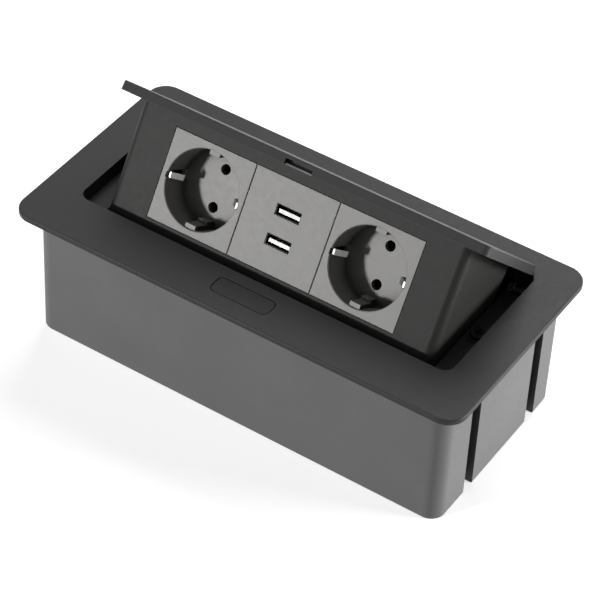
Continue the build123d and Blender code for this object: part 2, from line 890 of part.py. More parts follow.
def carrier_back():
    half = inside_end - back_gap
    low = sill_z + carrier_heel_rise + back_sill + back_gap
    high = lid_under - carrier_wall - back_gap
    y = (carrier_rear - back_thick, carrier_rear)
    plate = slab((-half, half), y, (low, high))
    through = (y[0] - overrun, y[1] + overrun)
    for x, z in back_screw_places():
        plate -= bar_y(back_screw_radius + slide_gap, x, through, z)
    middle = (low + high) / 2
    plate -= bar_y(lead_hole_radius, inlet_x, through, middle)
    for side in (-1, 1):
        for step in range(vent_count):
            z = middle + (step - (vent_count - 1) / 2) * vent_pitch
            x = side * module_pitch / 2
            vent_x = (x - vent_length / 2, x + vent_length / 2)
            plate -= slab(vent_x, through, (z - vent_width / 2, z + vent_width / 2))
    return plate


def carrier_back_screws():
    sizes = (back_screw_radius, back_screw_length, back_head_radius, back_head_height)
    return [screw((x, carrier_rear, z), (0, 1, 0), *sizes) for x, z in back_screw_places()]


def mount_screw_places():
    x = mount_frame_length / 2 - mount_screw_inset
    y = mount_screw_spacing / 2
    return [(side * x, level * y) for side in (-1, 1) for level in (-1, 1)]


def module_frame():
    middle = face_back - mount_frame_thick / 2
    frame = Pos(0, 0, middle) * Box(mount_frame_length, mount_frame_height, mount_frame_thick)
    length = module_body_length + 2 * mount_frame_gap
    height = module_body_height + 2 * mount_frame_gap
    for place in (-1, 0, 1):
        frame -= Pos(place * module_pitch, 0, middle) * Box(length, height, 2 * mount_frame_thick)
    for place in mount_screw_places():
        low = face_back - mount_frame_thick - overrun
        frame -= disc(*place, low, mount_screw_radius + slide_gap, mount_frame_thick + 2 * overrun)
    return panel * frame


def module_frame_screws():
    sizes = (mount_screw_radius, mount_screw_length, mount_head_radius, mount_head_height)
    seat = face_back - mount_frame_thick
    return [panel * screw((*place, seat), (0, 0, -1), *sizes) for place in mount_screw_places()]


def module_plate():
    plate = slab((-module_face / 2, module_face / 2), (-module_face / 2, module_face / 2), (face_back, 0))
    return fillet(plate.faces().sort_by(Axis.Z)[-1].edges(), module_edge_radius)


def socket_cover(name):
    cover = module_plate()
    x = (-recess_side, recess_side)
    y = (-module_body_height / 2, module_body_height / 2)
    cover += slab(x, y, (cover_back, face_back))
    cover -= disc(0, 0, -recess_depth, recess_radius, recess_depth + overrun)
    bevel = Pos(0, 0, -recess_bevel / 2) * Cone(recess_radius, recess_radius + recess_bevel, recess_bevel)
    cover -= bevel
    for side in (-1, 1):
        near = side * (recess_radius - key_reach)
        far = side * module_body_height / 2
        key = (-key_width / 2, key_width / 2)
        cover += slab(key, (near, far), (-recess_depth - recess_floor / 2, -key_drop))
        step = (-recess_depth - recess_floor / 2, key_step_height - recess_depth)
        cover += slab(key, (near - side * key_step_reach, far), step)
        cover -= disc(0, side * pin_spacing / 2, cover_back - overrun, pin_hole_radius, recess_depth)
        half = earth_width / 2 + earth_slot_gap
        inner = side * (earth_out - earth_thick - earth_slot_gap)
        slot_x = (inner, side * (recess_side + overrun))
        cover -= slab(slot_x, (-half, half), (cover_back - overrun, face_back))
        slot_x = (side * recess_radius / 2, side * (recess_side + overrun))
        cover -= slab(slot_x, (-half, half), (-recess_depth, face_back))
        mouth = (0, side * (recess_radius + earth_mouth_reach))
        cover -= slab(mouth, (-earth_width / 2, earth_width / 2), (face_back - overrun, overrun))
    for x, y in socket_screw_places():
        low = cover_back - overrun
        cover -= disc(x, y, low, socket_screw_radius + fit_gap, overrun + socket_screw_bite + clip_gap)
    return panels[name] * cover


def socket_screw_places():
    return [(side * socket_screw_x, side * socket_screw_y) for side in (-1, 1)]


def earth_strap(name):
    drops = earth_bulge_drops
    outer = [(earth_out, strap_back), (earth_out, -drops[3]), (earth_out - earth_bulge, -drops[2]),
             (earth_out - earth_bulge, -drops[1]), (earth_out - earth_lip_inset, -drops[0])]
    inner = [(x - earth_thick, z) for x, z in reversed(outer)]
    half = earth_width / 2
    outline = Plane.XZ.offset(-half) * Polygon(*(outer + inner), align=None)
    side = extrude(outline, earth_width, dir=(0, -1, 0))
    strap = side + mirror(side, Plane.YZ)
    strap += slab((-earth_out, earth_out), (-half, half), (strap_back, strap_back + earth_thick))
    strap += disc(0, 0, base_back, earth_post_radius, strap_back - base_back + earth_thick / 2)
    return panels[name] * strap


def pin_contacts(name):
    length = contact_front - contact_back
    slit_z = (contact_front - length / 2, contact_front + overrun)
    contacts = []
    for side in (-1, 1):
        y = side * pin_spacing / 2
        tube = disc(0, y, contact_back, contact_radius, length)
        tube -= disc(0, y, contact_bottom, contact_bore_radius, length)
        slit_y = (y - contact_slit / 2, y + contact_slit / 2)
        tube -= slab((-2 * contact_radius, 2 * contact_radius), slit_y, slit_z)
        tube += disc(0, y, base_back, contact_tail_radius, contact_back + contact_floor / 2 - base_back)
        contacts.append(panels[name] * tube)
    return contacts


def socket_base(name):
    x = (-base_length / 2, base_length / 2)
    y = (-base_height / 2, base_height / 2)
    base = slab(x, y, (base_back, base_front))
    depth = base_front - base_back + 2 * overrun
    low = contact_back - bore_gap
    for side in (-1, 1):
        place = (0, side * pin_spacing / 2)
        base -= disc(*place, low, contact_radius + bore_gap, base_front - low + overrun)
        base -= disc(*place, base_back - overrun, contact_tail_radius + bore_gap, depth)
    half = earth_width / 2 + bore_gap
    base -= slab((-base_length, base_length), (-half, half), (strap_back - bore_gap, base_front + overrun))
    base -= disc(0, 0, base_back - overrun, earth_post_radius + bore_gap, depth)
    for place in socket_screw_places():
        base -= disc(*place, base_back - overrun, socket_screw_radius + bore_gap, depth)
    return panels[name] * base


def socket_screws():
    length = cover_back - base_back + socket_screw_bite
    sizes = (socket_screw_radius, length, socket_head_radius, socket_head_height)
    screws = []
    for place in socket_screw_places():
        local = screw((*place, base_back), (0, 0, -1), *sizes)
        screws += [panels[name] * local for name in panels]
    return screws


def busbar(y):
    end = module_pitch + busbar_overhang
    return panel * slab((-end, end), (y - busbar_width / 2, y + busbar_width / 2), (busbar_back, base_back))


def terminal_places():
    return [level * pin_spacing / 2 for level in (-1, 0, 1)]


def terminal_block():
    back = busbar_back - terminal_depth
    half = terminal_length / 2
    block = slab((-half, half), (-terminal_height / 2, terminal_height / 2), (back, busbar_back))
    middle = busbar_back - terminal_depth / 2
    for y in terminal_places():
        block -= bar(terminal_hole_radius, (-half - overrun, half + overrun), y, middle)
        block -= disc(0, y, back - overrun, terminal_screw_radius + fit_gap, overrun + terminal_depth / 2)
        block -= disc(0, y, back - overrun, terminal_head_radius + bore_gap, overrun + terminal_head_height)
    return panel * block


def terminal_screws():
    seat = busbar_back - terminal_depth + terminal_head_height
    length = terminal_depth / 2 - terminal_head_height
    sizes = (terminal_screw_radius, length, terminal_head_radius, terminal_head_height)
    return [panel * screw((0, y, seat), (0, 0, -1), *sizes) for y in terminal_places()]


def port_box(y, grow, z):
    x = port_length / 2 + grow
    half = port_height / 2 + grow
    return slab((-x, x), (y - half, y + half), z)


def usb_face():
    face = module_plate()
    for y in port_offsets.values():
        face -= port_box(y, 0, (face_back - overrun, overrun))
    return panel * face


def usb_case():
    x = module_body_length / 2
    y = case_height / 2
    case = slab((-x, x), (-y, y), (case_back, face_back))
    inside = (case_inside, face_back + overrun)
    case -= slab((case_wall - x, x - case_wall), (case_wall - y, y - case_wall), inside)
    low = case_back + case_wall / 2
    for place in board_post_places():
        case += disc(*place, low, board_post_radius, board_back - low)
    return panel * case


def board_half():
    x = module_body_length / 2 - case_wall - board_margin
    y = case_height / 2 - case_wall - board_margin
    return (x, y)


def board_post_places():
    x, y = [half - board_post_inset for half in board_half()]
    return [(side * x, level * y) for side in (-1, 1) for level in (-1, 1)]


def usb_board():
    x, y = board_half()
    return panel * slab((-x, x), (-y, y), (board_back, board_front))


def usb_shell(level):
    y = port_offsets[level]
    z = (board_front, -shell_recess)
    shell = port_box(y, -port_gap, z)
    shell -= port_box(y, -port_gap - shell_wall, (z[0] - overrun, z[1] + overrun))
    return panel * shell


def tongue_span(level):
    y = port_offsets[level] - tongue_drop
    return (y - tongue_thick / 2, y + tongue_thick / 2)


def usb_tongue(level):
    half = tongue_length / 2
    tongue = slab((-half, half), tongue_span(level), (board_front, -shell_recess - tongue_recess))
    root_z = (board_front, board_front + tongue_root)
    root = port_box(port_offsets[level], -port_gap - shell_wall - fit_gap, root_z)
    return panel * (tongue + root)


def usb_contacts():
    front = -shell_recess - 2 * tongue_recess
    pads = []
    for level in port_offsets:
        y = tongue_span(level)[1]
        for share in pad_shares:
            x = share * tongue_length
            span = (x - pad_width / 2, x + pad_width / 2)
            pads.append(panel * slab(span, (y, y + pad_thick), (front - pad_length, front)))
    return pads


def core_span():
    return (board_back - core_depth, board_back)


def usb_transformer_core():
    low, high = core_span()
    x = (core_offset - core_length / 2, core_offset + core_length / 2)
    core = slab(x, (-core_height / 2, core_height / 2), (low, high))
    inside = (x[0] + core_wall, x[1] - core_wall)
    gap = core_height / 2 - core_wall
    hollow = slab(inside, (-gap, gap), (low - overrun, high + overrun))
    limb = slab((core_offset - core_wall / 2, core_offset + core_wall / 2), (-gap, gap), (low, high))
    return panel * (core - (hollow - limb))


def usb_transformer_winding():
    low, high = core_span()
    grow = core_wall / 2 + core_gap
    reach = core_length / 2 - core_wall - core_gap
    half = core_height / 2 - core_wall - core_gap
    x = (core_offset - reach, core_offset + reach)
    coil_block = slab(x, (-half, half), (low + core_gap, high - core_gap))
    limb = slab((core_offset - grow, core_offset + grow), (-core_height, core_height), (low, high))
    return [panel * part for part in (coil_block - limb).solids()]


def usb_capacitors():
    cans = []
    low = board_back - capacitor_depth
    for side in (-1, 1):
        y = side * capacitor_spacing / 2
        cans.append(panel * disc(-capacitor_offset, y, low, capacitor_radius, capacitor_depth))
    return cans


def guide_places():
    return [(side * guide_spacing / 2, button_y) for side in (-1, 1)]


def push_button():
    cap = rounded(button_length, button_width, button_thick, button_corner_radius, button_y, button_under)
    cap = fillet(cap.faces().sort_by(Axis.Z)[-1].edges(), button_edge_radius)
    y = (button_y - lip_width / 2, button_y + lip_width / 2)
    for side in (-1, 1):
        end = side * button_length / 2
        inner = side * lip_inner_half
        cap += slab((inner, end), y, (lip_under, button_under + button_edge_radius))
        cap += slab((inner, end + side * lip_reach), y, (lip_under, lip_top))
    for x, y in guide_places():
        low = bracket_under - guide_tail
        cap += disc(x, y, low, guide_radius, lip_top - low)
    stem = ((stem_front, button_under + button_edge_radius), (stem_front, stem_under + stem_thick),
            (stem_rear, stem_under), (stem_rear, button_under + button_edge_radius))
    return cap + prism(stem, (-stem_width / 2, stem_width / 2))


def latch_slider():
    half = slider_length / 2
    body = slab((-half, half), (slider_front, riser_rear), (slider_under, slider_top))
    ramp_y = (slider_front, slider_front + ramp_front)
    body += slab((-half, half), ramp_y, (slider_under, ramp_top))
    low = slider_under - overrun
    high = ramp_top + overrun
    room = ((ramp_sum - low, low), (ramp_sum - high, high), (window_rear, high), (window_rear, low))
    inner = stem_width / 2 + slide_gap
    body -= prism(room, (-inner, inner))
    riser_top = top - nose_drop
    body += slab((-half, half), (riser_front, riser_rear), (slider_under, riser_top - nose_thick))
    nose = nose_length / 2
    tip = lid_front + nose_entry
    low = riser_top - nose_thick
    outline = ((riser_front, low), (tip, low), (tip, riser_top - nose_bevel),
               (tip - nose_bevel, riser_top), (riser_front, riser_top))
    body += prism(outline, (-nose, nose))
    tab = (slider_under - spring_tab_drop, slider_under)
    return body + slab((-spring_tab_half, spring_tab_half), (window_rear, riser_rear - riser_thick / 2), tab)


def bracket_screw_places():
    x = bracket_inner_half + bracket_wall + bracket_tab / 2
    return [(side * x, button_y) for side in (-1, 1)]


def latch_bracket():
    wall = bracket_inner_half + bracket_wall
    y = (bracket_front, bracket_rear)
    bracket = slab((-wall, wall), y, (bracket_under, bracket_top))
    tab_y = (button_y - bracket_tab_width / 2, button_y + bracket_tab_width / 2)
    for side in (-1, 1):
        x = (side * bracket_inner_half, side * wall)
        bracket += slab(x, tab_y, (bracket_under, body_height))
        tab = (side * bracket_inner_half, side * (wall + bracket_tab))
        bracket += slab(tab, tab_y, (body_height - bracket_wall, body_height))
        rib = (side * guide_rib_half, side * (slider_length / 2 + guide_gap + guide_wall))
        rib_y = (slider_front, window_rear)
        bracket += slab(rib, rib_y, (bracket_top, slider_under - guide_rib_gap))
        cheek = (side * (slider_length / 2 + guide_gap), rib[1])
        bracket += slab(cheek, rib_y, (bracket_top, slider_top))
    lug = (slider_front - button_travel, slider_front - button_travel + bracket_wall)
    lug_top = slider_under - 2 * slide_gap
    bracket += slab((-spring_tab_half, spring_tab_half), lug, (bracket_top, lug_top))
    for place in guide_places():
        bracket -= disc(*place, bracket_under - overrun, guide_radius + guide_gap, bracket_wall + 2 * overrun)
    for place in bracket_screw_places():
        low = body_height - bracket_wall - overrun
        bracket -= disc(*place, low, bracket_screw_radius + bore_gap, bracket_wall + 2 * overrun)
    return bracket


def latch_bracket_screws():
    length = bracket_wall + bracket_screw_bite - fit_gap
    sizes = (bracket_screw_radius - fit_gap, length, bracket_head_radius, bracket_head_height)
    seat = body_height - bracket_wall
    return [screw((*place, seat), (0, 0, -1), *sizes) for place in bracket_screw_places()]


def button_springs():
    length = lip_under - bracket_top
    wound = coil(button_spring_radius, button_spring_wire, button_spring_turns, length - 2 * fit_gap)
    return [Pos(*place, bracket_top + fit_gap) * wound for place in guide_places()]


def latch_spring():
    start = slider_front - button_travel + bracket_wall + fit_gap
    length = window_rear - fit_gap - start
    z = slider_under - slide_gap - latch_spring_radius - latch_spring_wire
    wound = coil(latch_spring_radius, latch_spring_wire, latch_spring_turns, length)
    return Plane(origin=(0, start, z), z_dir=(0, 1, 0)) * wound


fixed = {
    "top_frame": top_frame,
    "housing_box": housing_box,
    "frame_screws": frame_screws,
    "hinge_pin": hinge_pin,
    "hinge_pin_clip": lambda: retaining_clip(-1),
    "torsion_spring": torsion_spring,
    "damper_barrel": damper_barrel,
    "latch_bracket": latch_bracket,
    "latch_bracket_screws": latch_bracket_screws,
    "button_springs": button_springs,
    "latch_spring": latch_spring,
    "cable_grommet": cable_grommet,
    "cord_clamp": cord_clamp,
    "cord_clamp_screws": cord_clamp_screws,
    "push_button": push_button,
    "latch_slider": latch_slider,
}
moving = {
    "lid_plate": lid_plate,
    "strike_plate": strike_plate,
    "strike_screws": strike_screws,
    "lid_screws": lid_screws,
    "carrier_shell": carrier_shell,
    "carrier_back": carrier_back,
    "carrier_back_screws": carrier_back_screws,
    "hinge_arm_left": lambda: hinge_arm(-1),
    "hinge_arm_right": lambda: hinge_arm(1),
    "hinge_arm_screws": hinge_arm_screws,
    "damper_rotor": damper_rotor,
    "damper_rotor_clip": lambda: retaining_clip(1),
    "module_frame": module_frame,
    "module_frame_screws": module_frame_screws,
    "socket_screws": socket_screws,
    "live_busbar": lambda: busbar(pin_spacing / 2),
    "neutral_busbar": lambda: busbar(-pin_spacing / 2),
    "earth_busbar": lambda: busbar(0),
    "terminal_block": terminal_block,
    "terminal_screws": terminal_screws,
    "usb_face": usb_face,
    "usb_case": usb_case,
    "usb_board": usb_board,
    "usb_shell_upper": lambda: usb_shell("upper"),
    "usb_shell_lower": lambda: usb_shell("lower"),
    "usb_tongue_upper": lambda: usb_tongue("upper"),
    "usb_tongue_lower": lambda: usb_tongue("lower"),
    "usb_contacts": usb_contacts,
    "usb_transformer_core": usb_transformer_core,
    "usb_transformer_winding": usb_transformer_winding,
    "usb_capacitors": usb_capacitors,
}
for name in panels:
    moving["socket_cover_" + name] = lambda name=name: socket_cover(name)
    moving["socket_base_" + name] = lambda name=name: socket_base(name)
    moving["earth_strap_" + name] = lambda name=name: earth_strap(name)
    moving["pin_contacts_" + name] = lambda name=name: pin_contacts(name)


def write(node, made, place):
    pieces = made if isinstance(made, list) else [made]
    placed = [place(piece) for piece in pieces]
    export_step(placed[0] if len(placed) == 1 else Compound(children=placed), "parts/" + node + ".step")
    print(node, len(placed))


os.makedirs("parts", exist_ok=True)
for node, make in fixed.items():
    write(node, make(), lambda piece: piece)
for node, make in moving.items():
    write(node, make(), tilted)
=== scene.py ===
import bpy
from mathutils import Matrix, Vector


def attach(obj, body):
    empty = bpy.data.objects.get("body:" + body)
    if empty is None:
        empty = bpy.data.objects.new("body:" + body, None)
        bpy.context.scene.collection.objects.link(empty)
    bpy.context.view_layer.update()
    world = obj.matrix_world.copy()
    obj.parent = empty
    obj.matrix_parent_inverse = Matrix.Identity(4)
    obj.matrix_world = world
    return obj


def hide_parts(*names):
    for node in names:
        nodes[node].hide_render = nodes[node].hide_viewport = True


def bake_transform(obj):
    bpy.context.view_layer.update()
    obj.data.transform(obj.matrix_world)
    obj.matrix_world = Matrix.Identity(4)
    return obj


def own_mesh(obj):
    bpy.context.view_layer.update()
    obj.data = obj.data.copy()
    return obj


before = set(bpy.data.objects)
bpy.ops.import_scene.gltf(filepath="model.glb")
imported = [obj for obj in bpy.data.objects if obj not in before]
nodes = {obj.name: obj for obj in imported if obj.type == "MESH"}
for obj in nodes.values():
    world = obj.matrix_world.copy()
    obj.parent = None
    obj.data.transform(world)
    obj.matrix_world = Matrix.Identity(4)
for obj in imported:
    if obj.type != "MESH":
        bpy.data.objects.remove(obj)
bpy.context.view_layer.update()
bpy.ops.object.select_all(action="DESELECT")
print("stage: frame loaded,", len(nodes), "nodes")


# place is where the node stands in the node editor
def addNode(tree, kind, place, **settings):
    made = tree.nodes.new(kind)
    made.location = place
    for name, value in settings.items():
        setattr(made, name, value)
    return made


def newMaterial(name):
    material = bpy.data.materials.new(name)
    material.use_nodes = True
    tree = material.node_tree
    shader = tree.nodes["Principled BSDF"]
    shader.location = (600, 0)
    return material, tree, shader


def noise(tree, coords, place, scale, detail, rough=0.5, stretch=(1, 1, 1)):
    mapping = addNode(tree, "ShaderNodeMapping", (place[0] - 200, place[1]))
    mapping.inputs["Scale"].default_value = stretch
    made = addNode(tree, "ShaderNodeTexNoise", place)
    made.inputs["Scale"].default_value = scale
    made.inputs["Detail"].default_value = detail
    made.inputs["Roughness"].default_value = rough
    tree.links.new(coords, mapping.inputs["Vector"])
    tree.links.new(mapping.outputs["Vector"], made.inputs["Vector"])
    return made.outputs["Fac"]


def remap(tree, value, place, low, high, fromLow=0.3, fromHigh=0.7):
    made = addNode(tree, "ShaderNodeMapRange", place)
    made.inputs["From Min"].default_value = fromLow
    made.inputs["From Max"].default_value = fromHigh
    made.inputs["To Min"].default_value = low
    made.inputs["To Max"].default_value = high
    tree.links.new(value, made.inputs["Value"])
    return made.outputs["Result"]


# first and second are each a colour or the output of another node
def mixColour(tree, factor, first, second, place):
    made = addNode(tree, "ShaderNodeMix", place, data_type="RGBA")
    tree.links.new(factor, made.inputs["Factor"])
    for socket, colour in ((made.inputs[6], first), (made.inputs[7], second)):
        if isinstance(colour, tuple):
            socket.default_value = (*colour, 1.0)
        else:
            tree.links.new(colour, socket)
    return made.outputs[2]


# samples and ramp of the painted shade in grooves and recesses
hollows = {"samples": 8, "closedAt": 0.35, "openAt": 0.65}
# samples and ramp of the painted edge highlight and edge wear
edges = {"samples": 6, "sharpAt": 0.80, "flatAt": 0.99}


# painted shade: how closely a point is walled in by its own piece, from 0 in the open to 1 in a deep groove,
# for darkening the colour where shade falls
def hollowMask(tree, reach, place):
    samples = hollows["samples"]
    closed = addNode(tree, "ShaderNodeAmbientOcclusion", place, samples=samples, only_local=True)
    closed.inputs["Distance"].default_value = reach
    after = (place[0] + 200, place[1])
    return remap(tree, closed.outputs["AO"], after, 1.0, 0.0, hollows["closedAt"], hollows["openAt"])


# how near a point is to an edge, from 0 on a flat to 1 on a sharp corner
def edgeMask(tree, width, place):
    soft = addNode(tree, "ShaderNodeBevel", place, samples=edges["samples"])
    soft.inputs["Radius"].default_value = width
    flat = addNode(tree, "ShaderNodeNewGeometry", (place[0], place[1] - 150))
    dot = addNode(tree, "ShaderNodeVectorMath", (place[0] + 200, place[1]), operation="DOT_PRODUCT")
    tree.links.new(soft.outputs["Normal"], dot.inputs[0])
    tree.links.new(flat.outputs["Normal"], dot.inputs[1])
    after = (place[0] + 400, place[1])
    return remap(tree, dot.outputs["Value"], after, 1.0, 0.0, edges["sharpAt"], edges["flatAt"])


plasticFinishes = {
    "flangePlastic": {
        "colour": (0.024, 0.024, 0.025), "cloud": 0.06, "rough": (0.48, 0.53), "specular": 0.26,
        "grainScale": 2600, "grainHeight": 0.00002,
        "edge": (0.10, 0.10, 0.102), "edgeWidth": 0.0006, "edgeShare": 0.45,
    },
    "lidPlastic": {
        "colour": (0.030, 0.030, 0.030), "cloud": 0.06, "rough": (0.46, 0.50), "specular": 0.24,
        "grainScale": 2600, "grainHeight": 0.00002,
        "edge": (0.11, 0.11, 0.112), "edgeWidth": 0.0006, "edgeShare": 0.45,
    },
    "carrierPlastic": {
        "colour": (0.018, 0.019, 0.017), "cloud": 0.04, "rough": (0.50, 0.53), "specular": 0.17,
        "grainScale": 2600, "grainHeight": 0.00002,
        "edge": (0.08, 0.08, 0.078), "edgeWidth": 0.0006, "edgeShare": 0.4,
    },
    "buttonPlastic": {
        "colour": (0.014, 0.014, 0.015), "cloud": 0.08, "rough": (0.44, 0.54), "specular": 0.25,
        "grainScale": 2600, "grainHeight": 0.00002,
        "edge": (0.10, 0.10, 0.102), "edgeWidth": 0.0005, "edgeShare": 0.5,
    },
    "boxPlastic": {
        "colour": (0.160, 0.160, 0.164), "cloud": 0.08, "rough": (0.48, 0.60), "specular": 0.35,
        "grainScale": 1800, "grainHeight": 0.00009,
        "edge": (0.27, 0.27, 0.274), "edgeWidth": 0.0008, "edgeShare": 0.4,
        # painted shade: darker in the box's grooves, where shade falls
        "hollowReach": 0.012, "hollow": (0.008, 0.008, 0.008),
    },
    "modulePlastic": {
        "colour": (0.320, 0.315, 0.306), "cloud": 0.025, "rough": (0.45, 0.50), "specular": 0.30,
        "grainScale": 3200, "grainHeight": 0.00001,
        "edge": (0.42, 0.415, 0.405), "edgeWidth": 0.0004, "edgeShare": 0.5,
        # painted shade: darker in the socket recesses and their creases, where shade falls
        "hollowReach": 0.016, "hollow": (0.035, 0.034, 0.033),
    },
    "innerPlastic": {
        "colour": (0.060, 0.060, 0.062), "cloud": 0.08, "rough": (0.45, 0.55), "specular": 0.4,
        "grainScale": 2200, "grainHeight": 0.00002,
        "edge": (0.12, 0.12, 0.125), "edgeWidth": 0.0005, "edgeShare": 0.4,
    },
    "tonguePlastic": {
        "colour": (0.86, 0.86, 0.85), "cloud": 0.03, "rough": (0.32, 0.40), "specular": 0.5,
        "grainScale": 3000, "grainHeight": 0.00002,
        "edge": (0.92, 0.92, 0.91), "edgeWidth": 0.0003, "edgeShare": 0.4,
    },
    "grommetRubber": {
        "colour": (0.020, 0.020, 0.020), "cloud": 0.15, "rough": (0.70, 0.82), "specular": 0.25,
        "grainScale": 1500, "grainHeight": 0.00008,
        "edge": (0.05, 0.05, 0.05), "edgeWidth": 0.0006, "edgeShare": 0.4,
    },
    "boardLacquer": {
        "colour": (0.020, 0.115, 0.050), "cloud": 0.20, "rough": (0.25, 0.35), "specular": 0.5,
        "grainScale": 900, "grainHeight": 0.00003,
        "edge": (0.16, 0.15, 0.08), "edgeWidth": 0.0004, "edgeShare": 0.7,
    },
}


plasticPattern = {
    "cloudScale": 22.0, "cloudDetail": 4.0, "speckScale": 420.0, "speckDetail": 2.0, "speckShare": 0.35,
    "grainDetail": 2.0, "grainRough": 0.6,
}


def plastic(name, finish):
    material, tree, shader = newMaterial(name)
    coords = addNode(tree, "ShaderNodeTexCoord", (-1200, 0)).outputs["Object"]
    colour = finish["colour"]
    cloud = noise(tree, coords, (-800, 300), plasticPattern["cloudScale"], plasticPattern["cloudDetail"])
    speck = noise(tree, coords, (-800, 0), plasticPattern["speckScale"], plasticPattern["speckDetail"])
    dark = tuple(part * (1.0 - finish["cloud"]) for part in colour)
    light = tuple(min(1.0, part * (1.0 + finish["cloud"])) for part in colour)
    base = mixColour(tree, remap(tree, cloud, (-550, 300), 0.0, 1.0), dark, light, (-300, 300))
    specks = remap(tree, speck, (-550, 120), 0.0, plasticPattern["speckShare"])
    base = mixColour(tree, specks, base, light, (-100, 250))
    # painted edge highlight together with edge wear: the colour goes lighter along edges, standing for light
    # caught on rounded edges as well as rubbed plastic
    edgeSheenAndWear = edgeMask(tree, finish["edgeWidth"], (-800, -500))
    edgeSheenAndWear = remap(tree, edgeSheenAndWear, (-200, -450), 0.0, finish["edgeShare"], 0.0, 1.0)
    base = mixColour(tree, edgeSheenAndWear, base, finish["edge"], (150, 200))
    # painted shade: the colour goes darker where the piece walls itself in, in grooves, creases and recesses
    # where shade falls
    if "hollow" in finish:
        deep = hollowMask(tree, finish["hollowReach"], (-800, 700))
        base = mixColour(tree, deep, base, finish["hollow"], (350, 350))
    tree.links.new(base, shader.inputs["Base Color"])
    low, high = finish["rough"]
    tree.links.new(remap(tree, speck, (-300, 0), low, high), shader.inputs["Roughness"])
    shader.inputs["Specular IOR Level"].default_value = finish["specular"]
    grainDetail, grainRough = plasticPattern["grainDetail"], plasticPattern["grainRough"]
    grain = noise(tree, coords, (-800, -250), finish["grainScale"], grainDetail, grainRough)
    bump = addNode(tree, "ShaderNodeBump", (300, -250))
    bump.inputs["Distance"].default_value = finish["grainHeight"]
    tree.links.new(grain, bump.inputs["Height"])
    tree.links.new(bump.outputs["Normal"], shader.inputs["Normal"])
    return material


metalFinishes = {
    "zincSteel": {"colour": (0.56, 0.56, 0.57), "stain": (0.40, 0.40, 0.41), "rough": (0.26, 0.42),
                  "stretch": (1, 14, 14), "scale": 260},
    "springMetal": {"colour": (0.44, 0.44, 0.43), "stain": (0.30, 0.30, 0.29), "rough": (0.40, 0.52),
                    "stretch": (1, 1, 1), "scale": 300},
    "screwBlack": {"colour": (0.016, 0.016, 0.017), "stain": (0.045, 0.045, 0.046), "rough": (0.30, 0.46),
                   "stretch": (1, 1, 1), "scale": 500},
    "contactBrass": {"colour": (0.78, 0.57, 0.25), "stain": (0.55, 0.37, 0.14), "rough": (0.24, 0.40),
                     "stretch": (1, 6, 6), "scale": 240},
    "shellSteel": {"colour": (0.035, 0.034, 0.031), "stain": (0.015, 0.015, 0.013), "rough": (0.45, 0.60),
                   "stretch": (1, 1, 8), "scale": 320},
    # painted shade: near black, standing for the shade inside the pin holes and USB ports, not the colour of
    # tinned metal
    "paintedShadeContact": {"colour": (0.022, 0.020, 0.017), "stain": (0.012, 0.011, 0.010), "rough": (0.40, 0.55),
                      "stretch": (1, 6, 6), "scale": 240},
    "strikeSteel": {"colour": (0.110, 0.110, 0.112), "stain": (0.060, 0.060, 0.062), "rough": (0.35, 0.50),
                    "stretch": (8, 1, 1), "scale": 300},
    "canAluminium": {"colour": (0.10, 0.10, 0.13), "stain": (0.06, 0.06, 0.08), "rough": (0.25, 0.35),
                     "stretch": (1, 1, 1), "scale": 200},
}


metalPattern = {
    "streakDetail": 3.0, "streakRough": 0.6, "streakHeight": 0.00002, "stainScale": 60.0, "stainDetail": 4.0,
    "edgeWidth": 0.0003, "edgeGain": 1.15,
}


def metal(name, finish):
    material, tree, shader = newMaterial(name)
    coords = addNode(tree, "ShaderNodeTexCoord", (-1200, 0)).outputs["Object"]
    streakDetail, streakRough = metalPattern["streakDetail"], metalPattern["streakRough"]
    streak = noise(tree, coords, (-800, 200), finish["scale"], streakDetail, streakRough, finish["stretch"])
    stain = noise(tree, coords, (-800, -100), metalPattern["stainScale"], metalPattern["stainDetail"])
    stained = remap(tree, stain, (-500, 200), 0.0, 1.0)
    base = mixColour(tree, stained, finish["colour"], finish["stain"], (-200, 200))
    # painted edge highlight together with edge wear: the metal goes lighter along its edges
    edgeSheenAndWear = edgeMask(tree, metalPattern["edgeWidth"], (-800, -500))
    bright = tuple(min(1.0, part * metalPattern["edgeGain"]) for part in finish["colour"])
    base = mixColour(tree, edgeSheenAndWear, base, bright, (150, 200))
    tree.links.new(base, shader.inputs["Base Color"])
    shader.inputs["Metallic"].default_value = 1.0
    low, high = finish["rough"]
    tree.links.new(remap(tree, streak, (-200, 0), low, high), shader.inputs["Roughness"])
    bump = addNode(tree, "ShaderNodeBump", (300, -250))
    bump.inputs["Distance"].default_value = metalPattern["streakHeight"]
    tree.links.new(streak, bump.inputs["Height"])
    tree.links.new(bump.outputs["Normal"], shader.inputs["Normal"])
    return material


